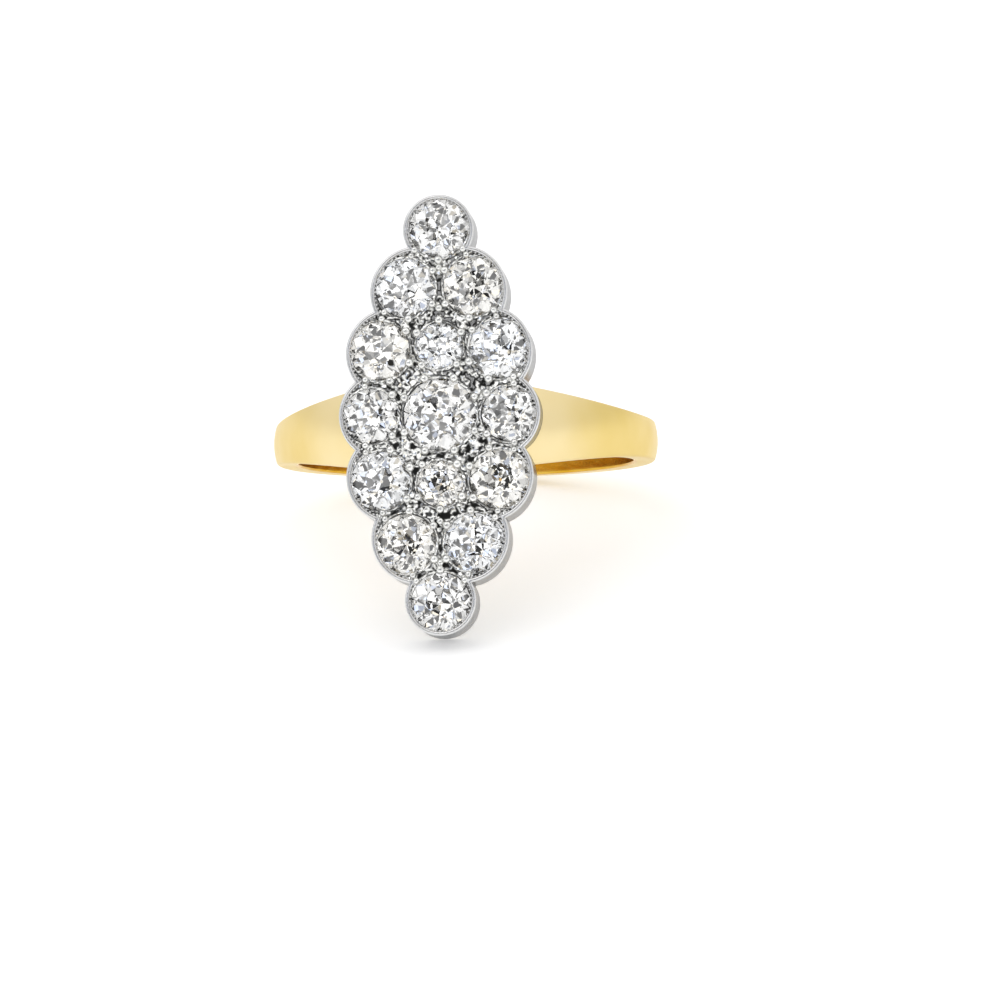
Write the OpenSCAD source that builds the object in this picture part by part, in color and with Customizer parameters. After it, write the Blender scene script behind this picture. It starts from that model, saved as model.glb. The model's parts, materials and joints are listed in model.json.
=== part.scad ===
// Navette ring: a pointed cluster of fifteen old cut stones in a scalloped white metal head,
// on a plain yellow gold band. The ring is drawn upright about its own finger axis,
// then laid down as it rests by itself, on the lower tip of the head and the back of the band.

/* [Band] */
// Inside diameter of the band, where the finger goes
finger_d = 17; // [14:0.25:20]
// Thickness of the band at the sides and the back
band_t = 1.25; // [1:0.05:1.8]
// Width of the band at the sides and the back
shank_w = 2.05; // [1.6:0.05:3]
// Width that the band would have at its very front, under the head
shoulder_w = 3.6; // [3.2:0.1:5]
// Radius of the soft dome across the outside of the band
dome_r = 3.2; // [2.7:0.1:8]
// Angle from the front at which each shoulder starts to swell
shoulder_angle = 78; // [66:1:86]
// Height at which a shoulder meets the side of the head, below the top of the rim
shoulder_drop = 1.35; // [0.9:0.05:1.8]

/* [Stones] */
// Diameter of the centre stone
centre_d = 3.6; // [3.2:0.05:4]
// Diameter of the small stones above and below the centre
inner_d = 2.3; // [1.9:0.05:2.5]
// Diameter of the outer stones
outer_d = 2.94; // [2.6:0.02:3.1]
// Diameter of the two outer stones at the waist
waist_d = 2.72; // [2.4:0.02:3]
// Crown height of a stone, as a share of its diameter
crown_share = 0.17; // [0.13:0.005:0.2]
// Pavilion depth of a stone, as a share of its diameter
pavilion_share = 0.43; // [0.38:0.005:0.45]
// Width of the table, as a share of the diameter
table_share = 0.5; // [0.4:0.01:0.6]
// Width of the culet, as a share of the diameter
culet_share = 0.06; // [0.05:0.01:0.14]
// Height of the girdle band round a stone
girdle_h = 0.06; // [0.04:0.01:0.1]

/* [Cluster] */
// Gap between neighbouring outer stones
outer_gap = 0.42; // [0.34:0.02:0.6]
// Gap between the centre stone and a waist stone
waist_gap = 0.26; // [0.2:0.02:0.5]
// Gap between the centre stone and a small stone
inner_gap = 0.45; // [0.35:0.05:0.7]
// Lean of the outline inward from the waist stone to the next one
waist_lean = 8.6; // [6:0.2:12]
// Lean of the outline inward over the next pair
shoulder_lean = 22; // [18:0.5:24]

/* [Head] */
// Height of the rim's top above the axis of the finger
head_top = 11.6; // [11.4:0.1:12.6]
// Height of the scalloped wall, from the rim down to the band
wall_h = 2; // [1.9:0.05:2.3]
// Thickness of the wall below the plate
wall_t = 0.36; // [0.25:0.01:0.5]
// Thickness of the pierced plate that carries the stones
plate_t = 0.95; // [0.8:0.05:1.2]
// Thickness of the rim round the top
rim_t = 0.12; // [0.1:0.01:0.16]
// Metal between the edge of an outer stone and the outside of the rim
rim_reach = 0.17; // [0.16:0.01:0.24]
// Depth of the metal between the stones below the top of the rim
field_drop = 0.2; // [0.12:0.02:0.26]
// How far inside its stone's centre a side scallop has its own centre
side_inset = 0.65; // [0.5:0.05:0.8]
// How far inside its stone's centre a tip scallop has its own centre
tip_inset = 0.10; // [0.05:0.05:0.3]
// Lean of the head's upper tip back over the finger
head_lean = 2.5; // [0:0.5:4]

/* [Grains] */
// Radius of the raised grains that hold the stones
grain_r = 0.19; // [0.14:0.01:0.22]
// How far a grain's middle stands outside the edge of its stone
grain_out = 0.12; // [0.1:0.01:0.16]
// Radius of the small grains in the notches of the outline
notch_grain_r = 0.15; // [0.1:0.01:0.18]

/* [Fits] */
// Gap between the edge of a stone and its seat
stone_clear = 0.04; // [0.03:0.005:0.05]
// Height of the metal between the stones above their girdles
grip_h = 0.03; // [0.01:0.01:0.05]
// Gap between a grain and the crown of its stone
grain_clear = 0.02; // [0.015:0.005:0.03]
// Gap filled by solder between the band and the head
solder_gap = 0.03; // [0.02:0.01:0.06]

/* [Hidden] */
$fn = 96;
// Facets of the very large circle along the band's edge
FINE = 360;
// Overlap that joins shapes or carries a cut through a face
EPS = 0.01;
// Reach of cutting shapes, beyond anything in the ring
FAR = 40;
// Sides of a cut stone: eight main facets, sixteen corners on the girdle
MAINS = 8;
STEP = 360 / MAINS;
// Polar radii of the star and lower girdle points, as shares of the stone's radius
STAR_SHARE = 0.74;
LOWER_SHARE = 0.56;
// Opening of a seat at the culet's depth, as a share of the stone's radius
AZURE_SHARE = 0.3;

bore_r = finger_d / 2;
band_r = bore_r + band_t;
head_rear = head_top - wall_h;
field_z = head_top - field_drop;
plate_rear = field_z - plate_t;
girdle_z = field_z - grip_h;

// Column places in the stone table
AT = 0;
DIAMETER = 1;
FACING = 2;
INSET = 3;

// The cluster, worked out from the stones and their gaps: the waist stone, then the next
// ones up one side, each a stone's width and a gap further along the leaning outline
outer_step = outer_d + outer_gap;
waist_step = (waist_d + outer_d) / 2 + outer_gap;
centre_row_x = (centre_d + waist_d) / 2 + waist_gap;
inner_row_x = (inner_d + outer_d) / 2 + waist_gap + waist_step * sin(waist_lean);
waist_x = max(centre_row_x, inner_row_x);
third = [waist_x - waist_step * sin(waist_lean), waist_step * cos(waist_lean)];
second = third + outer_step * [-sin(shoulder_lean), cos(shoulder_lean)];
tip_y = second.y + sqrt(pow(outer_step, 2) - pow(second.x, 2));
tip_lean = asin(second.x / outer_step);
inner_y = (centre_d + inner_d) / 2 + inner_gap;
half_l = tip_y + outer_d / 2 + rim_reach;

// One quarter of the outer stones, from the tip to the waist:
// [place, diameter, direction that the scallop faces, inset of the scallop]
QUARTER = [
    [[0, tip_y], outer_d, 90, tip_inset],
    [second, outer_d, (shoulder_lean + tip_lean) / 2, side_inset],
    [third, outer_d, (waist_lean + shoulder_lean) / 2, side_inset],
    [[waist_x, 0], waist_d, 0, side_inset],
];

function flip_x(v) = [-v.x, v.y];
function flip_y(v) = [v.x, -v.y];
function mirror_down(s) = [flip_y(s[AT]), s[DIAMETER], -s[FACING], s[INSET]];
function mirror_left(s) = [flip_x(s[AT]), s[DIAMETER], 180 - s[FACING], s[INSET]];

RIGHT = concat(QUARTER, [for (i = [2:-1:0]) mirror_down(QUARTER[i])]);
OUTER = concat(RIGHT, [for (i = [5:-1:1]) mirror_left(RIGHT[i])]);

CENTRE = [[0, 0], centre_d];
UPPER = [[0, inner_y], inner_d];
LOWER = [[0, -inner_y], inner_d];
STONES = concat(OUTER, [CENTRE, UPPER, LOWER]);

// The outer stones go clockwise from the upper tip. Each trio meets round one junction
TRIOS = [
    [OUTER[0], OUTER[1], OUTER[11]], [OUTER[1], OUTER[11], UPPER],
    [OUTER[1], OUTER[2], UPPER], [OUTER[2], UPPER, CENTRE], [OUTER[2], OUTER[3], CENTRE],
    [OUTER[11], OUTER[10], UPPER], [OUTER[10], UPPER, CENTRE], [OUTER[10], OUTER[9], CENTRE],
    [OUTER[6], OUTER[5], OUTER[7]], [OUTER[5], OUTER[7], LOWER],
    [OUTER[5], OUTER[4], LOWER], [OUTER[4], LOWER, CENTRE], [OUTER[4], OUTER[3], CENTRE],
    [OUTER[7], OUTER[8], LOWER], [OUTER[8], LOWER, CENTRE], [OUTER[8], OUTER[9], CENTRE],
];
// Angle between the line from stone to stone and a notch grain, toward the outline
NOTCH_TURN = 18.5;

// Turn of each stone about its own axis, set by hand, since no two sit alike
OUTER_TURNS = [8, 31, 17, 3, 40, 24, 12, 36, 6, 28, 19, 43];
CENTRE_TURN = 14;
INNER_TURNS = [27, 5];

// The resting pose: the floor runs from the rear edge of the lower tip to the back of the band
shank_edge = shank_w / 2;
dome_fall = dome_r - sqrt(pow(dome_r, 2) - pow(shank_edge, 2));
tip_rest = [-half_l * sin(head_lean) - head_rear * cos(head_lean),
            -half_l * cos(head_lean) + head_rear * sin(head_lean)];
back_rest = [band_r - dome_fall, -shank_edge];
rest_tilt = atan2(back_rest.y - tip_rest.y, back_rest.x - tip_rest.x);
lift = tip_rest.x * sin(rest_tilt) - tip_rest.y * cos(rest_tilt);
tip_front = [-half_l * sin(head_lean) - head_top * cos(head_lean),
             -half_l * cos(head_lean) + head_top * sin(head_lean)];
front_y = tip_front.x * cos(rest_tilt) + tip_front.y * sin(rest_tilt);
back_y = back_rest.x * cos(rest_tilt) - back_rest.y * sin(rest_tilt);

function outer_name(i) = str("stone_outer_", i < 9 ? "0" : "", i + 1);
OUTER_NAMES = [for (i = [0:len(OUTER) - 1]) outer_name(i)];

// Lays the upright ring down as it rests, its lowest points on the floor
module at_rest() {
    translate([0, -(front_y + back_y) / 2, lift])
        rotate([-rest_tilt, 0, 0])
            children();
}

// Sets a head that is drawn face up, its length along Y, on the front of the upright ring
module on_front() {
    rotate([90 - head_lean, 0, 0])
        children();
}

// The scalloped prism of the head, standing on z = 0: a round for each outer stone and the
// field between them, grown or shrunk by one amount
module scallops(h, grow = 0) {
    centres = [for (s = OUTER) s[AT] - s[INSET] * [cos(s[FACING]), sin(s[FACING])]];
    for (i = [0:len(OUTER) - 1])
        translate(centres[i])
            cylinder(r = OUTER[i][DIAMETER] / 2 + OUTER[i][INSET] + rim_reach + grow, h = h);
    linear_extrude(h)
        polygon(centres);
}

// Section of the band: flat inside, softly domed outside, as wide as the shoulders
module band_section(outer_r) {
    intersection() {
        translate([bore_r - EPS, -shoulder_w / 2])
            square([outer_r, shoulder_w]);
        translate([outer_r - dome_r, 0])
            circle(r = dome_r);
    }
}

// One shoulder: part of a larger hoop that leaves the band smoothly and meets the head
module shoulder() {
    out = [sin(shoulder_angle), -cos(shoulder_angle)];
    meet = [waist_x + waist_d / 2 + rim_reach, shoulder_drop - head_top];
    reach = meet * out;
    swell_r = (meet * meet - 2 * band_r * reach + pow(band_r, 2)) / (2 * (band_r - reach));
    shift = (band_r - swell_r) * out;
    intersection() {
        translate([shift.x, shift.y, 0])
            rotate_extrude()
                intersection() {
                    translate([swell_r - dome_r, 0])
                        circle(r = dome_r);
                    translate([swell_r - 2 * dome_r, -shoulder_w / 2])
                        square([2 * dome_r, shoulder_w]);
                }
        linear_extrude(FAR, center = true)
            polygon([[0, 0], FAR * out, [FAR, -FAR], [0, -FAR]]);
    }
}

// Everything above the band's curved upper edge, which runs straight at the back
module edge_cutter() {
    reach = band_r + EPS;
    rise = (shoulder_w - shank_w) / 2;
    curve_r = (pow(reach, 2) + pow(rise, 2)) / (2 * rise);
    rotate([90, 0, 90])
        linear_extrude(FAR, center = true) {
            translate([0, shank_edge + curve_r])
                circle(r = curve_r, $fn = FINE);
            translate([0, shank_edge])
                square([FAR, FAR]);
        }
}

module band() {
    color("goldenrod")
        at_rest()
            difference() {
                union() {
                    rotate_extrude()
                        band_section(band_r);
                    shoulder();
                    mirror([1, 0, 0])
                        shoulder();
                }
                cylinder(r = bore_r, h = FAR, center = true);
                edge_cutter();
                mirror([0, 0, 1])
                    edge_cutter();
                on_front()
                    translate([0, 0, head_rear - solder_gap])
                        scallops(FAR, solder_gap);
            }
}

// Room for one stone: straight at the girdle, then a cone that opens at the back
module seat(d) {
    r = d / 2 + stone_clear;
    depth = pavilion_share * d;
    translate([0, 0, girdle_z - girdle_h - stone_clear])
        cylinder(r = r, h = wall_h);
    translate([0, 0, girdle_z - girdle_h - stone_clear - depth])
        cylinder(r1 = AZURE_SHARE * d / 2, r2 = r, h = depth + EPS);
}

// The point between three stones: the mean of the middles of the gaps between each two
function gap_middle(a, b) =
    a[AT] + (a[DIAMETER] / 2 + (norm(b[AT] - a[AT]) - (a[DIAMETER] + b[DIAMETER]) / 2) / 2)
        * (b[AT] - a[AT]) / norm(b[AT] - a[AT]);
function junction(t) =
    (gap_middle(t[0], t[1]) + gap_middle(t[1], t[2]) + gap_middle(t[2], t[0])) / 3;

// A raised grain at the edge of a stone, in the direction of an angle, just clear of its crown
module grain(s, angle, r) {
    rise = sqrt(pow(r + grain_clear, 2) - pow(grain_out, 2));
    place = s[AT] + (s[DIAMETER] / 2 + grain_out) * [cos(angle), sin(angle)];
    translate([place.x, place.y, girdle_z + rise])
        sphere(r = r);
}

// Grains where three stones meet, one for each stone, and in the notches of the outline
module grains() {
    for (t = TRIOS, s = t) {
        toward = junction(t) - s[AT];
        grain(s, atan2(toward.y, toward.x), grain_r);
    }
    for (i = [0:len(OUTER) - 1]) {
        here = OUTER[i];
        next = OUTER[(i + 1) % len(OUTER)];
        toward = next[AT] - here[AT];
        link = atan2(toward.y, toward.x);
        grain(here, link + NOTCH_TURN, notch_grain_r);
        grain(next, link + 180 - NOTCH_TURN, notch_grain_r);
    }
}

module setting() {
    color("gainsboro")
        at_rest()
            on_front() {
                difference() {
                    translate([0, 0, head_rear])
                        scallops(wall_h);
                    translate([0, 0, field_z])
                        scallops(wall_h, -rim_t);
                    translate([0, 0, plate_rear - wall_h])
                        scallops(wall_h, -wall_t);
                    for (s = STONES)
                        translate(s[AT])
                            seat(s[DIAMETER]);
                }
                grains();
            }
}

// Corner of a cut stone at a polar angle, radius and height
function corner(angle, r, z) = [r * cos(angle), r * sin(angle), z];

// An old brilliant cut stone with its girdle's top at height zero: table, eight stars, eight
// kites, sixteen upper and sixteen lower girdle facets, eight mains and a small culet
module cut_stone(d) {
    r = d / 2;
    half = STEP / 2;
    table_r = r * table_share;
    culet_r = r * culet_share;
    crown = d * crown_share;
    pavilion = d * pavilion_share;
    star_r = r * STAR_SHARE;
    lower_r = r * LOWER_SHARE;
    star_z = crown * (r - star_r * cos(half)) / (r - table_r);
    lower_z = -girdle_h - pavilion * (r - lower_r * cos(half)) / (r - culet_r * cos(half));
    table = [for (k = [0:MAINS - 1]) corner(k * STEP, table_r, crown)];
    stars = [for (k = [0:MAINS - 1]) corner((k + 0.5) * STEP, star_r, star_z)];
    girdle_top = [for (k = [0:2 * MAINS - 1]) corner(k * half, r, 0)];
    girdle_low = [for (k = [0:2 * MAINS - 1]) corner(k * half, r, -girdle_h)];
    lowers = [for (k = [0:MAINS - 1]) corner((k + 0.5) * STEP, lower_r, lower_z)];
    culet = [for (k = [0:MAINS - 1]) corner((k + 0.5) * STEP, culet_r, -girdle_h - pavilion)];
    // First place of each group of corners in the joined list
    S = MAINS;
    G = 2 * MAINS;
    B = 4 * MAINS;
    L = 6 * MAINS;
    C = 7 * MAINS;
    eight = [0:MAINS - 1];
    faces = concat(
        [[for (k = [MAINS - 1:-1:0]) k]],
        [for (k = eight) [k, (k + 1) % MAINS, S + k]],
        [for (k = eight) [k, S + k, G + 2 * k, S + (k + MAINS - 1) % MAINS]],
        [for (k = eight) [S + k, G + 2 * k + 1, G + 2 * k]],
        [for (k = eight) [S + k, G + (2 * k + 2) % (2 * MAINS), G + 2 * k + 1]],
        [for (k = [0:2 * MAINS - 1])
            [G + k, G + (k + 1) % (2 * MAINS), B + (k + 1) % (2 * MAINS), B + k]],
        [for (k = eight) [B + 2 * k, B + 2 * k + 1, L + k]],
        [for (k = eight) [B + 2 * k + 1, B + (2 * k + 2) % (2 * MAINS), L + k]],
        [for (k = eight)
            [B + 2 * k, L + k, C + k, C + (k + MAINS - 1) % MAINS, L + (k + MAINS - 1) % MAINS]],
        [[for (k = eight) C + k]]
    );
    polyhedron(concat(table, stars, girdle_top, girdle_low, lowers, culet), faces);
}

// A stone in its place on the head of the resting ring
module set_stone(at, d, turn) {
    color("aliceblue")
        at_rest()
            on_front()
                translate([at.x, at.y, girdle_z])
                    rotate(turn)
                        cut_stone(d);
}

band();
setting();
set_stone([0, 0], centre_d, CENTRE_TURN);  // stone_centre
set_stone([0, inner_y], inner_d, INNER_TURNS[0]);  // stone_inner_upper
set_stone([0, -inner_y], inner_d, INNER_TURNS[1]);  // stone_inner_lower
for (i = [0:len(OUTER) - 1])
    set_stone(OUTER[i][AT], OUTER[i][DIAMETER], OUTER_TURNS[i]);
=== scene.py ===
"""Looks of a navette ring: a pointed cluster of old cut stones in a scalloped white metal head,
on a plain yellow gold band. All lengths are in metres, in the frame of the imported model."""

import itertools
import json
import logging
import math
from dataclasses import dataclass, field, replace
from enum import Enum
from typing import Any, Union

import bpy
import numpy as np
from mathutils import Matrix, Vector


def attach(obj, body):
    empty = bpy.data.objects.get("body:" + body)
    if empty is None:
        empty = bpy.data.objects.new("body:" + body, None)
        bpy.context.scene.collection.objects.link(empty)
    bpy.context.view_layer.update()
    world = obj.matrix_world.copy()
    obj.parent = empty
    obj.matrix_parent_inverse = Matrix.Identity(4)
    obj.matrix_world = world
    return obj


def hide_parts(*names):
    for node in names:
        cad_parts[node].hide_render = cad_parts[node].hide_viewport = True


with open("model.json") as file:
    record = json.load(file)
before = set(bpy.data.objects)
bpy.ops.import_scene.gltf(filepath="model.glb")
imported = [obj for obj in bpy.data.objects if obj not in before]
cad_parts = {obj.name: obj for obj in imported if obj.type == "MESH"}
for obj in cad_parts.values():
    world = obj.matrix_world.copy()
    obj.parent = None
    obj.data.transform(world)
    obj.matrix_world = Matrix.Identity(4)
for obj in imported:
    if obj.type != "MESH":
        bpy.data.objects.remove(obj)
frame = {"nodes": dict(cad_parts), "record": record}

LOG = logging.getLogger("navette_ring")
MM = 0.001
BODY = "root"
DEPTH = "depth"
WHITE = (1.0, 1.0, 1.0)

# Heights over the ring's centre of the head's rear edge and of the plate between the stones,
# and how deep the pieces on the plate stand in it
HEAD_REAR = 9.6 * MM
FIELD_LEVEL = 11.4 * MM
FIELD_ROOT = 0.04 * MM

# Places of a Mix node's share and its two colours, and of the colour that it gives
MIX_INPUTS = (0, 6, 7)
MIX_OUTPUT = 2

# The value that noise lies round, and the octaves of fine noise
NOISE_MIDDLE = 0.5
FINE_DETAIL = 3.0

# Decimals that tell the normals of two facets apart
NORMAL_DECIMALS = 3

# Share of a stone's radius past which its corners belong to the girdle
GIRDLE_SHARE = 0.999

# Height of an even triangle whose sides are 1
TRIANGLE_RISE = math.sqrt(0.75)

# Sides of a small grain, and the latitudes of its rings in degrees
BEAD_SIDES = 12
BEAD_RINGS = (-60.0, -30.0, 0.0, 22.0, 42.0, 60.0, 76.0)


class Slot(Enum):
    """The record's material slots that new pieces take."""

    GOLD = "yellow_gold"
    WHITE_METAL = "white_metal"


class Socket:
    """One output of a shader node. Its operators add Math nodes and give their results."""

    def __init__(self, graph: "Graph", output: bpy.types.NodeSocket) -> None:
        """Keeps the graph that new nodes go into and the wrapped output."""
        self.graph = graph
        self.output = output

    def _math(self, operation: str, *values: Any) -> "Socket":
        """The result of a Math node on sockets or numbers."""
        links = dict(enumerate(values))
        return self.graph.node("ShaderNodeMath", {"operation": operation}, links)

    def __add__(self, other: "Value") -> "Socket":
        """Sum."""
        return self._math("ADD", self, other)

    def __radd__(self, other: "Value") -> "Socket":
        """Sum with a number on the left."""
        return self._math("ADD", other, self)

    def __sub__(self, other: "Value") -> "Socket":
        """Difference."""
        return self._math("SUBTRACT", self, other)

    def __rsub__(self, other: "Value") -> "Socket":
        """Difference with a number on the left."""
        return self._math("SUBTRACT", other, self)

    def __mul__(self, other: "Value") -> "Socket":
        """Product."""
        return self._math("MULTIPLY", self, other)

    def __rmul__(self, other: "Value") -> "Socket":
        """Product with a number on the left."""
        return self._math("MULTIPLY", other, self)

    def __abs__(self) -> "Socket":
        """Size without its sign."""
        return self._math("ABSOLUTE", self)

    def above(self, edge: float, soft: float) -> "Socket":
        """A smooth step from 0 to 1 round an edge.

        Args:
            edge: The value at the middle of the step.
            soft: The step's width.

        Returns:
            The step.
        """
        ends = {"From Min": edge - soft / 2, "From Max": edge + soft / 2, "Value": self}
        return self.graph.node(
            "ShaderNodeMapRange", {"interpolation_type": "SMOOTHSTEP"}, ends
        )

    def below(self, edge: float, soft: float) -> "Socket":
        """A smooth step from 1 to 0 round an edge, as wide as soft."""
        return 1.0 - self.above(edge, soft)


Value = Union[Socket, float]


class Graph:
    """A node tree that is built up by expressions."""

    def __init__(self, tree: bpy.types.NodeTree) -> None:
        """Empties the tree and keeps it."""
        self.tree = tree
        tree.nodes.clear()

    def node(
        self, kind: str, settings: dict[str, Any], inputs: dict[Any, Any], out: Any = 0
    ) -> Socket:
        """Adds one node.

        Args:
            kind: The node's type.
            settings: Its properties, which are set first.
            inputs: Numbers, colours or Sockets, by the input's name or place.
            out: Name or place of the output that is wanted.

        Returns:
            That output.
        """
        added = self.tree.nodes.new(kind)
        for name, value in settings.items():
            setattr(added, name, value)
        for name, value in inputs.items():
            if isinstance(value, Socket):
                self.tree.links.new(value.output, added.inputs[name])
            else:
                added.inputs[name].default_value = value
        return Socket(self, added.outputs[out]) if added.outputs else Socket(self, None)

    def mix(self, share: Value, first: Any, second: Any) -> Socket:
        """Mixes two colours or Sockets that carry them, by the share of the second."""
        inputs = dict(zip(MIX_INPUTS, (share, self.rgba(first), self.rgba(second))))
        return self.node("ShaderNodeMix", {"data_type": "RGBA"}, inputs, MIX_OUTPUT)

    def vector(self, operation: str, *values: Any, out: str = "Vector") -> Socket:
        """The result of a Vector Math node on sockets or fixed vectors."""
        links = dict(enumerate(values))
        return self.node("ShaderNodeVectorMath", {"operation": operation}, links, out)

    def number(self, operation: str, *values: Any) -> Socket:
        """The single number that a Vector Math node gives."""
        return self.vector(operation, *values, out="Value")

    def part(self, vector: Socket, axis: str) -> Socket:
        """One part of a vector or a colour: its X, Y or Z."""
        return self.node("ShaderNodeSeparateXYZ", {}, {"Vector": vector}, axis)

    def place(self, kind: str) -> Socket:
        """The shaded point's coordinates of one kind, such as Object."""
        return self.node("ShaderNodeTexCoord", {}, {}, kind)

    def normal(self) -> Socket:
        """The surface's own normal, in the row's frame."""
        return self.node("ShaderNodeNewGeometry", {}, {}, "Normal")

    def cells(self, place: Socket, scale: float) -> Socket:
        """Random colours, each of which fills one cell of about 1 / scale."""
        return self.node("ShaderNodeTexVoronoi", {}, {"Vector": place, "Scale": scale}, "Color")

    @staticmethod
    def rgba(colour: Any) -> Any:
        """A colour with its alpha, or the Socket as it is."""
        return colour if isinstance(colour, Socket) else (*colour, 1.0)

    def noise(self, place: Socket, size: float, detail: float = 2.0) -> Socket:
        """Noise in 0 to 1 whose largest spots have a size in metres, with finer octaves."""
        inputs = {"Vector": place, "Scale": 1.0 / size, "Detail": detail}
        return self.node("ShaderNodeTexNoise", {}, inputs)

    def stretched_noise(
        self, place: Socket, scale: tuple, size: float, detail: float = 2.0
    ) -> Socket:
        """Noise whose spots are drawn out by 1 / scale along each of the three axes."""
        scaled = self.node("ShaderNodeMapping", {}, {"Vector": place, "Scale": scale})
        return self.noise(scaled, size, detail)

    def bump(self, height: Socket, distance: float) -> Socket:
        """A normal bumped by a height in 0 to 1, whose full depth is a distance in metres."""
        return self.node("ShaderNodeBump", {}, {"Height": height, "Distance": distance})


@dataclass(frozen=True, kw_only=True)
class Finish:
    """A finish of one Principled shader, whose inputs each kind of finish works out."""

    name: str

    def inputs(self, graph: Graph) -> dict[str, Any]:
        """The shader's inputs by name, as sockets of the graph or fixed values."""
        raise NotImplementedError

    def material(self) -> bpy.types.Material:
        """Makes the finish as a material.

        Returns:
            The material, with the finish's nodes in it.
        """
        material = bpy.data.materials.new(self.name)
        material.use_nodes = True
        graph = Graph(material.node_tree)
        shader = graph.node("ShaderNodeBsdfPrincipled", {}, self.inputs(graph))
        graph.node("ShaderNodeOutputMaterial", {}, {"Surface": shader})
        return material


@dataclass(frozen=True, kw_only=True)
class PolishedGold(Finish):
    """Yellow gold with a soft worn polish: slow drifts of tone and fine random scratches.

    It has a painted sheen: a paler colour on the shoulders, standing in for a highlight there.
    Inside the finger hole it is smoother and has painted shade: a deeper colour with faint lighter
    streaks.
    """

    axis_point: tuple
    axis: tuple
    bore: float
    name: str = "polished_gold"
    # painted sheen: the paler gold of the shoulders near the head, standing in for a highlight
    painted_sheen: tuple = (0.90, 0.745, 0.42)
    deep: tuple = (0.78, 0.585, 0.175)
    # painted shade inside the finger hole: a deeper gold, with lighter streaks in it
    inside: tuple = (0.70, 0.39, 0.025)
    bore_shade_streak: tuple = (0.78, 0.52, 0.09)
    inside_polish: float = 0.14
    streak: float = 0.30 * MM
    streak_stretch: tuple = (0.13, 0.13, 1.0)
    streak_edge: float = 0.56
    streak_soft: float = 0.36
    shoulder: float = 6.7 * MM
    shoulder_fade: float = 2.6 * MM
    shoulder_share: float = 0.8
    bore_skin: float = 0.28 * MM
    roughness: float = 0.32
    roughness_spread: float = 0.05
    patch: float = 3.0 * MM
    patch_soft: float = 0.5
    scratch: float = 0.16 * MM
    scratch_stretch: tuple = (1.0, 0.22, 0.22)
    scratch_depth: float = 0.0006 * MM

    def inputs(self, graph: Graph) -> dict[str, Any]:
        """Works out the shader's inputs on Object coordinates.

        Args:
            graph: The graph that new nodes go into.

        Returns:
            Sockets or fixed values, by the input's name.
        """
        place = graph.place("Object")
        drift = graph.noise(place, self.patch)
        wear = graph.noise(place, self.patch / 2)
        fine = graph.stretched_noise(place, self.scratch_stretch, self.scratch, FINE_DETAIL)
        from_axis = graph.vector("SUBTRACT", place, self.axis_point)
        # far is 1 away from the head; nearer the head the painted sheen takes over
        far = abs(graph.part(from_axis, "X")).above(self.shoulder, self.shoulder_fade)
        patchy = drift.above(NOISE_MIDDLE, self.patch_soft) * (1.0 - self.shoulder_share)
        outer = graph.mix(far * self.shoulder_share + patchy, self.painted_sheen, self.deep)
        square = graph.vector("CROSS_PRODUCT", from_axis, self.axis)
        reach = graph.number("LENGTH", square)
        # the share of painted shade: 1 on the inside of the finger hole
        painted_shade = reach.below(self.bore + self.bore_skin / 2, self.bore_skin)
        rough = wear.above(NOISE_MIDDLE, self.patch_soft) * self.roughness_spread
        rough = self.roughness + rough - painted_shade * self.inside_polish
        # lighter streaks within the painted shade of the finger hole
        streaks = graph.stretched_noise(place, self.streak_stretch, self.streak)
        worn = streaks.above(self.streak_edge, self.streak_soft)
        inner = graph.mix(worn, self.inside, self.bore_shade_streak)
        return {
            "Base Color": graph.mix(painted_shade, outer, inner),
            "Metallic": 1.0,
            "Roughness": rough,
            "Normal": graph.bump(fine, self.scratch_depth),
        }


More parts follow.
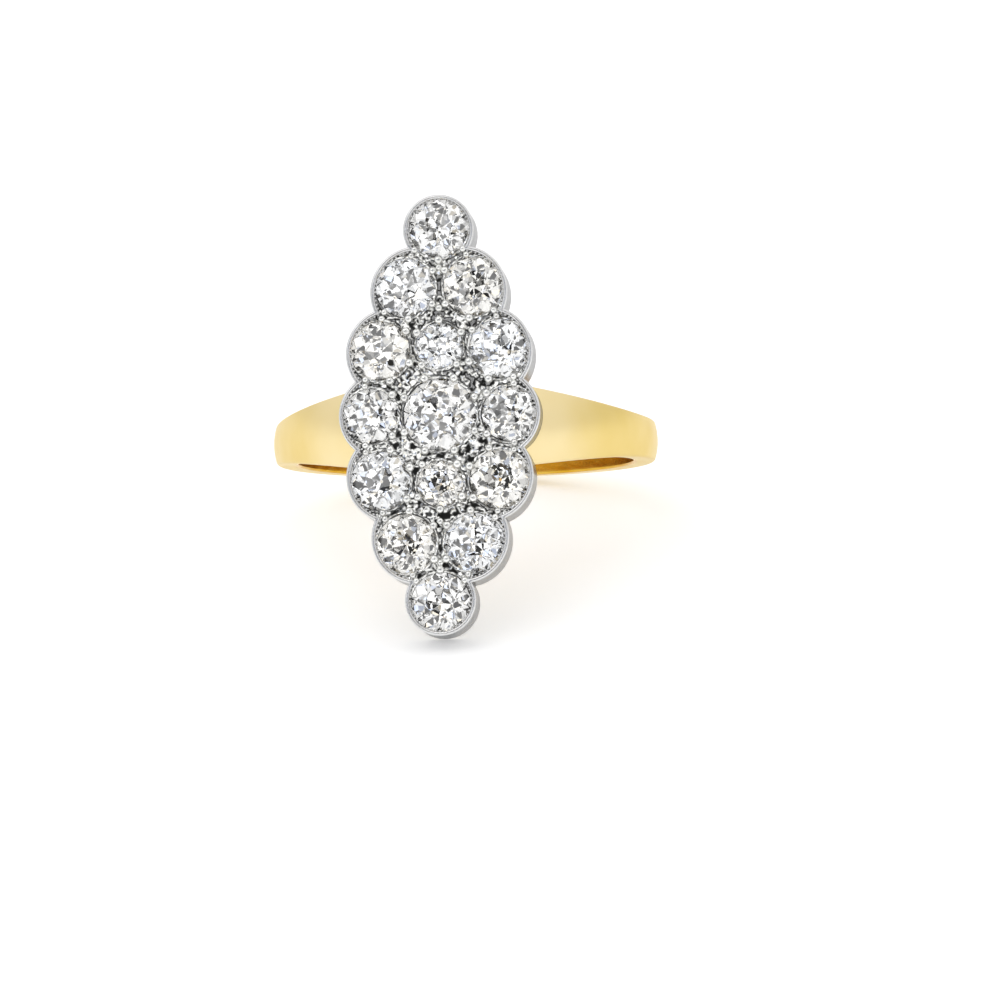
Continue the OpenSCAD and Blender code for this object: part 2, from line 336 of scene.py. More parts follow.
@dataclass(frozen=True, kw_only=True)
class BrightPlatinum(Finish):
    """White metal with a smooth polish that has gone a little soft in patches.

    Fine polishing lines run up the height of the head, and its rear edge has a painted highlight:
    a thin band of much paler colour. The funnels that the stones sit in have painted light, a
    near-white colour where they lie below the girdles and face between sideways and outward.
    """

    axes: tuple
    rear: float
    girdle: float
    name: str = "wall_platinum"
    light: tuple = (0.51, 0.51, 0.51)
    dark: tuple = (0.42, 0.42, 0.42)
    # painted highlight: the much paler colour of a thin band along the head's rear edge
    painted_rear_highlight: tuple = (0.78, 0.78, 0.77)
    # painted light: the near-white colour of the seat funnels under the stones
    seat: tuple = (0.94, 0.94, 0.93)
    seat_least: float = 0.35
    seat_most: float = 0.85
    seat_fade: float = 0.10
    edge_tint: tuple = (0.72, 0.72, 0.72)
    painted_light_edge: float = 0.07 * MM
    roughness: float = 0.20
    roughness_spread: float = 0.12
    patch: float = 0.8 * MM
    tone_soft: float = 0.6
    line: float = 0.07 * MM
    line_stretch: float = 0.08
    line_depth: float = 0.0012 * MM
    line_share: float = 0.35

    def inputs(self, graph: Graph) -> dict[str, Any]:
        """Works out the shader's inputs on Object coordinates and the surface's normal.

        Args:
            graph: The graph that new nodes go into.

        Returns:
            Sockets or fixed values, by the input's name.
        """
        place = graph.place("Object")
        across, along, out = (graph.number("DOT_PRODUCT", place, axis) for axis in self.axes)
        turned = {"X": across, "Y": along, "Z": out * self.line_stretch}
        upright = graph.node("ShaderNodeCombineXYZ", {}, turned)
        lines = graph.noise(upright, self.line, FINE_DETAIL)
        drift = graph.noise(place, self.patch, FINE_DETAIL)
        tone = drift * (1.0 - self.line_share) + lines * self.line_share
        # painted highlight along the rear edge, as wide as the painted light edge
        painted_rear_highlight = out.below(self.rear + self.painted_light_edge, self.painted_light_edge)
        metal = graph.mix(tone.above(NOISE_MIDDLE, self.tone_soft), self.light, self.dark)
        # painted light on the seats: faces turned between sideways and outward, below the girdles
        facing = graph.number("DOT_PRODUCT", graph.normal(), self.axes[2])
        seat = facing.above(self.seat_least, self.seat_fade)
        seat *= facing.below(self.seat_most, self.seat_fade)
        seat *= out.below(self.girdle, self.painted_light_edge)
        return {
            "Base Color": graph.mix(seat, graph.mix(painted_rear_highlight, metal, self.painted_rear_highlight), self.seat),
            "Metallic": 1.0,
            "Specular Tint": (*self.edge_tint, 1.0),
            "Roughness": self.roughness + drift * self.roughness_spread,
            "Normal": graph.bump(lines, self.line_depth),
        }


@dataclass(frozen=True, kw_only=True)
class CutPlatinum(Finish):
    """Bright-cut white metal: clean on the crests, with painted shade, near black, in the hollows.
    """

    name: str = "cut_platinum"
    crest: tuple = (0.95, 0.95, 0.93)
    worn: tuple = (0.74, 0.74, 0.72)
    # painted shade: the near-black colour that the hollows take
    painted_shade: tuple = (0.025, 0.025, 0.024)
    roughness: float = 0.10
    roughness_spread: float = 0.25
    patch: float = 0.25 * MM
    patch_soft: float = 0.3
    shade_edge: float = 0.62
    shade_soft: float = 0.45

    def inputs(self, graph: Graph) -> dict[str, Any]:
        """Works out the shader's inputs on Object coordinates and the depth kept on the mesh.

        Args:
            graph: The graph that new nodes go into.

        Returns:
            Sockets or fixed values, by the input's name.
        """
        place = graph.place("Object")
        depth = graph.node("ShaderNodeAttribute", {"attribute_name": DEPTH}, {}, "Fac")
        patches = graph.noise(place, self.patch, FINE_DETAIL)
        wear = patches.above(NOISE_MIDDLE, self.patch_soft)
        clean = graph.mix(wear, self.crest, self.worn)
        # painted shade: the lower a point, the nearer its colour goes to near black
        shaded_hollows = depth.above(self.shade_edge, self.shade_soft)
        return {
            "Base Color": graph.mix(shaded_hollows, clean, self.painted_shade),
            "Metallic": 1.0,
            "Roughness": self.roughness + shaded_hollows * self.roughness_spread,
        }


@dataclass(frozen=True, kw_only=True)
class OldCutDiamond(Finish):
    """Clear stone with a faint tint, whose facets were polished in small uneven patches."""

    tint: tuple
    index: float = 2.417
    polish_patch: float = 0.62 * MM
    polish_lean: float = 0.034

    def inputs(self, graph: Graph) -> dict[str, Any]:
        """Works out the shader's inputs, whose normal leans a little otherwise in each patch.

        Args:
            graph: The graph that new nodes go into.

        Returns:
            Sockets or fixed values, by the input's name.
        """
        patches = graph.cells(graph.place("Object"), 1.0 / self.polish_patch)
        uneven = graph.vector("SUBTRACT", patches, (NOISE_MIDDLE,) * 3)
        lean = graph.vector("MULTIPLY", uneven, (self.polish_lean,) * 3)
        return {
            "Base Color": (*self.tint, 1.0),
            "Roughness": 0.0,
            "IOR": self.index,
            "Transmission Weight": 1.0,
            "Normal": graph.vector("NORMALIZE", graph.vector("ADD", graph.normal(), lean)),
        }


@dataclass(frozen=True, kw_only=True)
class PaleFloor(Finish):
    """Matte white floor with a faint glow of its own, so that only close shadows show."""

    name: str = "pale_floor"
    colour: tuple = (0.92, 0.92, 0.92)
    glow: float = 0.26
    roughness: float = 0.9

    def inputs(self, graph: Graph) -> dict[str, Any]:
        """Gives the shader's inputs, which are all fixed.

        Args:
            graph: The graph that new nodes go into; not used, as all the inputs are fixed.

        Returns:
            Sockets or fixed values, by the input's name.
        """
        return {
            "Base Color": (*self.colour, 1.0),
            "Roughness": self.roughness,
            "Emission Color": (*WHITE, 1.0),
            "Emission Strength": self.glow,
        }


def dress(piece: bpy.types.Object, material: bpy.types.Material) -> None:
    """Gives a piece one material."""
    piece.data.materials.clear()
    piece.data.materials.append(material)


def new_piece(name: str, points: np.ndarray, faces: list) -> bpy.types.Object:
    """Makes a mesh object from arrays.

    Args:
        name: Its name.
        points: Corners, in rows of three numbers.
        faces: Corner numbers of each face.

    Returns:
        The object, linked to the scene.
    """
    mesh = bpy.data.meshes.new(name)
    mesh.from_pydata(points.reshape(-1, 3), [], faces)
    mesh.update()
    piece = bpy.data.objects.new(name, mesh)
    bpy.context.scene.collection.objects.link(piece)
    return piece


def keep_depth(piece: bpy.types.Object, depth: np.ndarray) -> None:
    """Keeps a number from 0, a crest, to 1, the lowest point, for each corner of a piece; the cut
    metal paints shade by it.
    """
    layer = piece.data.attributes.new(DEPTH, "FLOAT", "POINT")
    layer.data.foreach_set("value", depth.ravel().astype(np.float32))


def grid_faces(rows: int, columns: int) -> np.ndarray:
    """Quads of a grid of points that closes both ways.

    Corner (i, j) joins (i + 1, j), (i + 1, j + 1) and (i, j + 1), each counted round the end.

    Args:
        rows: Number of rows.
        columns: Number of points in a row.

    Returns:
        One row of four corner numbers for each quad.
    """
    i, j = np.meshgrid(np.arange(rows), np.arange(columns), indexing="ij")
    after_i, after_j = (i + 1) % rows, (j + 1) % columns
    corners = [i * columns + j, after_i * columns + j, after_i * columns + after_j]
    corners.append(i * columns + after_j)
    return np.stack(corners, axis=-1).reshape(-1, 4)


def repeated(faces: np.ndarray, copies: int, corners: int) -> list:
    """The faces of several like shapes laid one after another, each with its own corners."""
    shift = (np.arange(copies) * corners)[:, None, None]
    return (faces[None] + shift).reshape(-1, faces.shape[1]).tolist()


def net_triangles(rows: int, columns: int) -> np.ndarray:
    """Two triangles for each cell of an open grid of points.

    Args:
        rows: Number of rows.
        columns: Number of points in a row.

    Returns:
        One row of three corner numbers for each triangle.
    """
    number = np.arange(rows * columns).reshape(rows, columns)
    corner, right, up = number[:-1, :-1], number[1:, :-1], number[:-1, 1:]
    low = np.stack([corner, right, up], axis=-1).reshape(-1, 3)
    high = np.stack([right, number[1:, 1:], up], axis=-1).reshape(-1, 3)
    return np.vstack([low, high])


def centred(draw: np.random.Generator, shape: Any) -> np.ndarray:
    """Random numbers from -0.5 to 0.5 in an array of a given shape."""
    return draw.random(shape) - 0.5


def open_edges(faces: np.ndarray, count: int) -> tuple[np.ndarray, np.ndarray]:
    """The edges along which no triangle runs the other way.

    Args:
        faces: Corner numbers of the triangles, three in a row.
        count: Number of corners.

    Returns:
        The first corner and the last corner of each.
    """
    start, end = faces.ravel(), np.roll(faces, -1, axis=1).ravel()
    is_open = ~np.isin(start * count + end, end * count + start)
    return start[is_open], end[is_open]


def without_pinches(faces: np.ndarray, count: int) -> np.ndarray:
    """Drops the triangles at corners where two parts of a net meet in that corner alone.

    More than one open edge leaves such a corner. What is left is looked at again until there
    is none.

    Args:
        faces: Corner numbers of the triangles, three in a row.
        count: Number of corners.

    Returns:
        The triangles that are left.
    """
    while True:
        pinched = np.bincount(open_edges(faces, count)[0], minlength=count) > 1
        if not pinched.any():
            return faces
        faces = faces[~pinched[faces].any(axis=1)]


def closed_below(faces: np.ndarray, count: int) -> list:
    """Closes a net of triangles with the same net below it and walls along its open edges.

    The wall stands from each open edge to the same edge of the lower net.

    Args:
        faces: Corner numbers of the upper triangles, three in a row.
        count: Number of corners of the upper net; the lower ones follow in the same order.

    Returns:
        All the faces.
    """
    a, b = open_edges(faces, count)
    walls = np.stack([a, a + count, b + count, b], axis=1)
    return faces.tolist() + (faces[:, ::-1] + count).tolist() + walls.tolist()


def smooth(piece: bpy.types.Object, sharp_above: float) -> None:
    """Shades a piece smoothly, apart from edges that turn more than an angle in degrees."""
    piece.data.shade_smooth()
    piece.data.set_sharp_from_angle(angle=math.radians(sharp_above))


def settle(piece: bpy.types.Object) -> None:
    """Applies a piece's modifiers to its mesh.

    Args:
        piece: A piece with live modifiers.
    """
    evaluated = piece.evaluated_get(bpy.context.evaluated_depsgraph_get())
    mesh = bpy.data.meshes.new_from_object(evaluated)
    piece.modifiers.clear()
    piece.data = mesh


def joined(runs: list[tuple[np.ndarray, np.ndarray]]) -> tuple[np.ndarray, np.ndarray]:
    """Runs of points laid end to end, each first spread to one row for each angle."""
    spread = [np.broadcast_arrays(r, z) for r, z in runs]
    return tuple(np.concatenate([run[part] for run in spread], axis=1) for part in (0, 1))


def corners_of(node: str) -> np.ndarray:
    """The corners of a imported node.

    Args:
        node: Its name.

    Returns:
        Points in the row's frame, one row each.
    """
    mesh = frame["nodes"][node].data
    flat = np.empty(len(mesh.vertices) * 3)
    mesh.vertices.foreach_get("co", flat)
    return flat.reshape(-1, 3)


def table_normal(node: str) -> np.ndarray:
    """The normal of the largest flat facet of a packed stone, which is its table.

    Args:
        node: The stone's node.

    Returns:
        The normal, of length 1.
    """
    mesh = frame["nodes"][node].data
    count = len(mesh.polygons)
    normals, areas = np.empty(count * 3), np.empty(count)
    mesh.polygons.foreach_get("normal", normals)
    mesh.polygons.foreach_get("area", areas)
    rounded = normals.reshape(-1, 3).round(NORMAL_DECIMALS)
    planes, which = np.unique(rounded, axis=0, return_inverse=True)
    largest = np.bincount(which.ravel(), weights=areas).argmax()
    return planes[largest] / np.linalg.norm(planes[largest])


@dataclass
class RingFrame:
    """Where the ring lies: its centre, the finger's axis and the three directions of the head."""

    centre: np.ndarray
    finger: np.ndarray
    bore: float
    outward: np.ndarray
    across: np.ndarray = field(default_factory=lambda: np.array([1.0, 0.0, 0.0]))

    @classmethod
    def measured(cls) -> "RingFrame":
        """Reads the finger hole's mount and the centre stone's table.

        Returns:
            The ring's frame.
        """
        mounts = {m["name"]: m for m in frame["record"]["mounts"]}
        hole = mounts["finger_hole"]
        axis = np.array(hole["axis"], float)
        return cls(
            centre=np.array(hole["pos_m"], float),
            finger=axis / np.linalg.norm(axis),
            bore=hole["dims"]["r_mm"] * MM,
            outward=table_normal("stone_centre"),
        )

    @property
    def along(self) -> np.ndarray:
        """The direction up the length of the head."""
        return np.cross(self.outward, self.across)

    @property
    def back(self) -> np.ndarray:
        """The direction in the band's plane from the head to the back of the band."""
        return np.cross(self.finger, self.across)

    def placed(self, *steps: tuple[Any, np.ndarray]) -> np.ndarray:
        """Points at the centre plus the sum of each step's lengths along its direction."""
        return self.centre + sum(np.asarray(length)[..., None] * way for length, way in steps)

    def on_head(self, x: Any, y: Any, z: Any) -> np.ndarray:
        """Points given across, along and outward from the ring's centre, in the row's frame."""
        return self.placed((x, self.across), (y, self.along), (z, self.outward))

    def on_band(self, x: Any, y: Any, z: Any) -> np.ndarray:
        """Points given across, backward and along the finger, in the row's frame."""
        return self.placed((x, self.across), (y, self.back), (z, self.finger))

    def to_head(self, points: np.ndarray) -> np.ndarray:
        """Points of the row's frame as across, along and outward from the ring's centre."""
        axes = np.stack([self.across, self.along, self.outward])
        return (points - self.centre) @ axes.T


@dataclass
class Stone:
    """One stone of the cluster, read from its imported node."""

    node: str
    place: np.ndarray
    radius: float
    girdle: float

    @classmethod
    def measured(cls, ring: RingFrame, node: str) -> "Stone":
        """Reads the middle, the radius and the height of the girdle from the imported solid.

        Args:
            ring: The ring's frame.
            node: The stone's node.

        Returns:
            The stone.
        """
        points = ring.to_head(corners_of(node))
        middle = (points[:, :2].min(axis=0) + points[:, :2].max(axis=0)) / 2
        reach = np.linalg.norm(points[:, :2] - middle, axis=1)
        widest = reach > reach.max() * GIRDLE_SHARE
        return cls(node, middle, float(reach.max()), float(points[widest, 2].max()))


@dataclass
class Cluster:
    """The fifteen stones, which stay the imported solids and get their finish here."""

    ring: RingFrame
    finishes: tuple = (
        OldCutDiamond(name="diamond_white", tint=(1.0, 0.997, 0.985)),
        OldCutDiamond(name="diamond_warm", tint=(1.0, 0.985, 0.945)),
        OldCutDiamond(name="diamond_cool", tint=(0.98, 0.99, 1.0)),
    )
    trio_gap: float = 1.2 * MM

    def __post_init__(self) -> None:
        """Reads each stone from the frame."""
        names = sorted(n for n in frame["nodes"] if n.startswith("stone_"))
        self.stones = [Stone.measured(self.ring, name) for name in names]
        self.outer = [s for s in self.stones if "outer" in s.node]
        self.places = np.array([s.place for s in self.stones])
        self.radii = np.array([s.radius for s in self.stones])
        self.girdle = self.stones[0].girdle

    def trios(self) -> np.ndarray:
        """Finds each three stones of which any two lie less than the trio gap apart.

        Returns:
            Their numbers, three in a row.
        """
        picked = np.array(list(itertools.combinations(range(len(self.stones)), 3)))
        after = np.roll(picked, -1, axis=1)
        gap = np.linalg.norm(self.places[picked] - self.places[after], axis=2)
        gap -= self.radii[picked] + self.radii[after]
        return picked[(gap < self.trio_gap).all(axis=1)]

    def junctions(self, trios: np.ndarray) -> np.ndarray:
        """The point between the stones of each trio.

        It is the mean of the middles of the gaps: a + (ra + (d - ra - rb) / 2) u for each two
        neighbours at a distance d in the direction u.

        Args:
            trios: Stone numbers, three in a row.

        Returns:
            Points across and along, one row for each trio.
        """
        after = np.roll(trios, -1, axis=1)
        step = self.places[after] - self.places[trios]
        apart = np.linalg.norm(step, axis=2)
        share = (self.radii[trios] + apart - self.radii[after]) / 2 / apart
        return (self.places[trios] + share[..., None] * step).mean(axis=1)

    def edge_distance(self, points: np.ndarray) -> np.ndarray:
        """Distance from points across and along to the edge of the nearest stone."""
        away = np.linalg.norm(points[..., None, :] - self.places, axis=-1)
        return (away - self.radii).min(axis=-1)

    def dress(self) -> None:
        """Gives the stones their clear finishes in turn."""
        materials = [finish.material() for finish in self.finishes]
        for number, stone in enumerate(self.stones):
            dress(frame["nodes"][stone.node], materials[number % len(materials)])
            LOG.info("%s: %.2f mm across", stone.node, stone.radius * 2 / MM)


@dataclass
class Scallops:
    """The outline of the head: one round for each outer stone, clockwise from the upper tip."""

    cluster: Cluster
    side_inset: float = 0.65 * MM
    tip_inset: float = 0.10 * MM
    rim_reach: float = 0.17 * MM
    edge_points: int = 60

    def rounds(self) -> tuple[np.ndarray, np.ndarray]:
        """Middles and radii of the rounds.

        Each round faces the mean direction of the outward normals of the lines to the two
        neighbouring stones. Its middle lies its inset behind the stone's middle, and its radius
        is the stone's, the inset and the reach of the rim.

        Returns:
            Points across and along, one row each, and their radii.
        """
        places = np.array([s.place for s in self.cluster.outer])
        step = np.roll(places, -1, axis=0) - places
        normal = np.stack([-step[:, 1], step[:, 0]], axis=1)
        normal /= np.linalg.norm(normal, axis=1)[:, None]
        facing = normal + np.roll(normal, 1, axis=0)
        facing /= np.linalg.norm(facing, axis=1)[:, None]
        inset = np.full(len(places), self.side_inset)
        inset[[places[:, 1].argmax(), places[:, 1].argmin()]] = self.tip_inset
        radii = np.array([s.radius for s in self.cluster.outer]) + inset + self.rim_reach
        return places - inset[:, None] * facing, radii

    def path(self, grow: float, per_round: int) -> np.ndarray:
        """The outline as a closed row of points, counter-clockwise.

        Neighbouring circles meet at c + a u + h v, where u runs from one middle to the next,
        a = (d^2 + r1^2 - r2^2) / 2d and h = sqrt(r1^2 - a^2). Each arc runs between two such
        points at even angles.

        Args:
            grow: Length added to each radius.
            per_round: Points on each arc.

        Returns:
            Points across and along, one row each.
        """
        middles, radii = self.rounds()
        middles, radii = middles[::-1], radii[::-1] + grow
        after, r_after = np.roll(middles, -1, axis=0), np.roll(radii, -1)
        step = after - middles
        gap = np.linalg.norm(step, axis=1)
        u = step / gap[:, None]
        outward = np.stack([u[:, 1], -u[:, 0]], axis=1)
        a = (gap**2 + radii**2 - r_after**2) / (2 * gap)
        h = np.sqrt(radii**2 - a**2)
        meet = middles + a[:, None] * u + h[:, None] * outward
        before = np.roll(meet, 1, axis=0)
        start = np.arctan2(*(before - middles).T[::-1])
        end = np.arctan2(*(meet - middles).T[::-1])
        turn = (end - start) % math.tau
        share = np.arange(per_round) / per_round
        angles = start[:, None] + turn[:, None] * share
        x = middles[:, :1] + radii[:, None] * np.cos(angles)
        y = middles[:, 1:] + radii[:, None] * np.sin(angles)
        return np.stack([x, y], axis=-1).reshape(-1, 2)

    def inside(self, points: np.ndarray, inset: float) -> np.ndarray:
        """Which points lie inside the outline by more than an inset.

        The outline is seen whole from the middle of the head, so a point is inside where its
        distance is less than the outline's at the same angle.

        Args:
            points: Points across and along, in rows.
            inset: The least distance from the outline.

        Returns:
            True for each point inside.
        """
        path = self.path(-inset, self.edge_points)
        angles = np.arctan2(path[:, 1], path[:, 0])
        at = np.arctan2(points[..., 1], points[..., 0])
        order = np.argsort(angles)
        reach = np.linalg.norm(path, axis=1)
        edge = np.interp(at, angles[order], reach[order], period=math.tau)
        return np.linalg.norm(points, axis=-1) < edge


@dataclass
class Shank:
    """The gold band: a domed hoop with softened edges, whose shoulders swell to the head."""

    ring: RingFrame
    scallops: Scallops
    thickness: float = 1.25 * MM
    width: float = 2.05 * MM
    front_width: float = 3.6 * MM
    dome: float = 3.2 * MM
    shoulder_angle: float = 78.0
    shoulder_meet: tuple = (4.95 * MM, -10.25 * MM)
    solder_gap: float = 0.005 * MM
    outer_round: float = 0.22 * MM
    inner_round: float = 0.12 * MM
    sharp_above: float = 30.0
    turns: int = 480
    bore_points: int = 6
    inner_points: int = 7
    outer_points: int = 9
    dome_points: int = 13
    seat_points: int = 24
    seat_depth: float = 6.0 * MM

    def outer_radius(self, angle: np.ndarray) -> np.ndarray:
        """Outside radius of the hoop at angles from the front.

        The plain hoop's radius, or on the shoulders the far crossing of a ray with the larger
        hoop: d.c + sqrt((d.c)^2 + R^2 - c.c), where that hoop is tangent to the plain one at
        the shoulder's angle and passes through the point where it meets the head.

        Args:
            angle: Angles in radians.

        Returns:
            The radius at each.
        """
        plain = self.ring.bore + self.thickness
        turn = math.radians(self.shoulder_angle)
        out = np.array([math.sin(turn), -math.cos(turn)])
        meet = np.array(self.shoulder_meet)
        reach = meet @ out
        swell = (meet @ meet - 2 * plain * reach + plain**2) / (2 * (plain - reach))
        shift = (plain - swell) * out
        ray = np.stack([np.abs(np.sin(angle)), -np.cos(angle)], axis=-1)
        lead = ray @ shift
        larger = lead + np.sqrt(lead**2 + swell**2 - shift @ shift)
        front = np.abs((angle + math.pi) % math.tau - math.pi) < turn
        return np.where(front, np.maximum(larger, plain), plain)

    def half_width(self, y: np.ndarray) -> np.ndarray:
        """Half the width of the band: even behind the middle, and a widening arc in front.

        e + R - sqrt(R^2 - y^2) for y in front, where the arc is tangent to the straight edge.

        Args:
            y: Distances behind the middle of the ring, in the band's plane.

        Returns:
            Half the width at each.
        """
        edge, rise = self.width / 2, (self.front_width - self.width) / 2
        reach = self.ring.bore + self.thickness
        radius = (reach**2 + rise**2) / (2 * rise)
        ahead = np.minimum(y, 0.0)
        return edge + radius - np.sqrt(radius**2 - ahead**2)

    def section(self, angle: np.ndarray) -> tuple[np.ndarray, np.ndarray]:
        """The section of the band at each angle.

        It has a flat inside, straight sides and a domed outside, with quarter rounds between
        them. The dome is a circle of fixed radius through the hoop's outside. The upper half
        is worked out and then mirrored.

        Args:
            angle: Angles in radians, one row each.

        Returns:
            Radii and heights, one row for each angle.
        """
        outer = self.outer_radius(angle)[:, None]
        inner = np.full_like(outer, self.ring.bore)
        ahead = -np.cos(angle)[:, None]
        r_in, r_out = self.inner_round, self.outer_round
        z_in = self.half_width(ahead * inner) - r_in
        z_out = self.half_width(ahead * outer) - r_out
        dome_middle = outer - self.dome
        side = dome_middle + np.sqrt((self.dome - r_out) ** 2 - z_out**2)
        last = np.arctan2(z_out, side - dome_middle)
        inner_turn = math.pi / 2 * np.linspace(0, 1, self.inner_points)
        outer_share = np.linspace(0, 1, self.outer_points)
        outer_turn = math.pi / 2 + (last - math.pi / 2) * outer_share
        arch = last * np.linspace(1, 0, self.dome_points)[1:-1]
        half = [
            (inner, z_in * np.linspace(0, 1, self.bore_points)[1:-1]),
            (inner + r_in * (1 - np.cos(inner_turn)), z_in + r_in * np.sin(inner_turn)),
            (side + r_out * np.cos(outer_turn), z_out + r_out * np.sin(outer_turn)),
            (dome_middle + self.dome * np.cos(arch), self.dome * np.sin(arch)),
        ]
        r, z = joined(half)
        return np.hstack([r, r[:, ::-1]]), np.hstack([z, -z[:, ::-1]])

    def build(self) -> bpy.types.Object:
        """Sweeps the section round the finger and cuts the seat of the head out of it.

        A point of the section goes to r (sin a, -cos a) in the band's plane.

        Returns:
            The band.
        """
        angle = np.linspace(0, math.tau, self.turns, endpoint=False)
        r, z = self.section(angle)
        sine, cosine = np.sin(angle)[:, None], np.cos(angle)[:, None]
        points = self.ring.on_band(r * sine, -r * cosine, z)
        piece = new_piece("gold_band", points, grid_faces(*r.shape).tolist())
        self.cut_seat(piece)
        smooth(piece, self.sharp_above)
        return piece

    def cut_seat(self, piece: bpy.types.Object) -> None:
        """Cuts the prism of the head's outline, grown by the solder gap, out of the band.

        Args:
            piece: The band with its front still whole.
        """
        path = self.scallops.path(self.solder_gap, self.seat_points)
        count = len(path)
        heights = HEAD_REAR + np.array([-self.solder_gap, self.seat_depth])
        points = self.ring.on_head(path[None, :, 0], path[None, :, 1], heights[:, None])
        number = np.arange(count)
        after = (number + 1) % count
        sides = np.stack([number, after, after + count, number + count], axis=1).tolist()
        caps = [number[::-1].tolist(), (number + count).tolist()]
        cutter = new_piece("seat_cutter", points, sides + caps)
        cut = piece.modifiers.new("seat", "BOOLEAN")
        cut.operation, cut.solver, cut.object = "DIFFERENCE", "EXACT", cutter
        settle(piece)
        bpy.data.objects.remove(cutter)

    def dress(self, piece: bpy.types.Object) -> None:
        """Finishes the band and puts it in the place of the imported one.

        Args:
            piece: The band.
        """
        middle, finger = tuple(self.ring.centre), tuple(self.ring.finger)
        finish = PolishedGold(axis_point=middle, axis=finger, bore=self.ring.bore)
        dress(piece, finish.material())
        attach(piece, BODY)
        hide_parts("band")
        LOG.info("%s: %d faces", piece.name, len(piece.data.polygons))


def beads(
    name: str, ring: RingFrame, places: np.ndarray, radii: np.ndarray
) -> bpy.types.Object:
    """Makes small round grains on the head as one mesh.

    A grain is two poles and rings between them: r (cos a cos b, sin a cos b, sin b).

    Args:
        name: Name of the piece.
        ring: The ring's frame.
        places: Middles across, along and outward, one row each.
        radii: Radius of each grain.

    Returns:
        The piece.
    """
    b = np.radians(BEAD_RINGS)
    sides, rings = BEAD_SIDES, len(b)
    a = np.arange(sides) * math.tau / sides
    x = np.append(np.outer(np.cos(b), np.cos(a)), [0, 0])
    y = np.append(np.outer(np.cos(b), np.sin(a)), [0, 0])
    ball = np.stack([x, y, np.append(np.repeat(np.sin(b), sides), [-1, 1])], axis=1)
    i, j = np.meshgrid(np.arange(rings - 1), np.arange(sides), indexing="ij")
    after = (j + 1) % sides
    low, high = i * sides, (i + 1) * sides
    quads = np.stack([low + j, low + after, high + after, high + j], -1).reshape(-1, 4)
    k = np.arange(sides)
    first = (rings - 1) * sides
    pole = np.full(sides, rings * sides)
    caps = [np.stack([(k + 1) % sides, k, pole], 1)]
    caps.append(np.stack([first + k, first + (k + 1) % sides, pole + 1], 1))
    points = places[:, None, :] + ball[None] * radii[:, None, None]
    faces = repeated(quads, len(places), len(ball))
    faces += repeated(np.vstack(caps), len(places), len(ball))
    piece = new_piece(name, ring.on_head(points[..., 0], points[..., 1], points[..., 2]), faces)
    piece.data.shade_smooth()
    keep_depth(piece, np.zeros(points.shape[:2]))
    return piece


@dataclass
class Rim:
    """The edge round the top of the head: a rolled lip with a row of fine beads inside it."""

    ring: RingFrame
    scallops: Scallops
    top: float = 11.6 * MM
    lip: float = 0.11 * MM
    lip_inset: float = 0.09 * MM
    bead: float = 0.06 * MM
    bead_pitch: float = 0.21 * MM
    bead_inset: float = 0.225 * MM
    bead_drop: float = 0.07 * MM
    bead_spread: float = 0.35
    seed: int = 5
    lip_sides: int = 12
    lip_points: int = 24
    path_points: int = 60
    sharp_above: float = 50.0

    def rolled_lip(self) -> bpy.types.Object:
        """Carries a small circle round the outline.

        Each row of points is the outline grown by -inset + r cos a, at the height of the top
        plus r sin a.

        Returns:
            The lip.
        """
        around = np.linspace(0, math.tau, self.lip_sides, endpoint=False)
        grow = self.lip * np.cos(around) - self.lip_inset
        rows = np.stack([self.scallops.path(g, self.lip_points) for g in grow], axis=1)
        z = self.top - self.lip / 2 + self.lip * np.sin(around)
        points = self.ring.on_head(rows[..., 0], rows[..., 1], np.broadcast_to(z, rows.shape[:2]))
        piece = new_piece("rim_lip", points, grid_faces(*rows.shape[:2]).tolist())
        smooth(piece, self.sharp_above)
        return piece

    def beading(self) -> bpy.types.Object:
        """Sets small round beads at even steps along the inside of the lip.

        Returns:
            The beads as one piece.
        """
        path = self.scallops.path(-self.bead_inset, self.path_points)
        closed = np.vstack([path, path[:1]])
        steps = np.linalg.norm(np.diff(closed, axis=0), axis=1)
        length = np.concatenate([[0], np.cumsum(steps)])
        count = round(length[-1] / self.bead_pitch)
        at = np.arange(count) * length[-1] / count
        x, y = np.interp(at, length, closed[:, 0]), np.interp(at, length, closed[:, 1])
        draw = np.random.default_rng(self.seed)
        radii = self.bead * (1 + centred(draw, count) * self.bead_spread)
        places = np.stack([x, y, np.full(count, self.top - self.bead_drop)], axis=1)
        return beads("rim_beading", self.ring, places, radii)


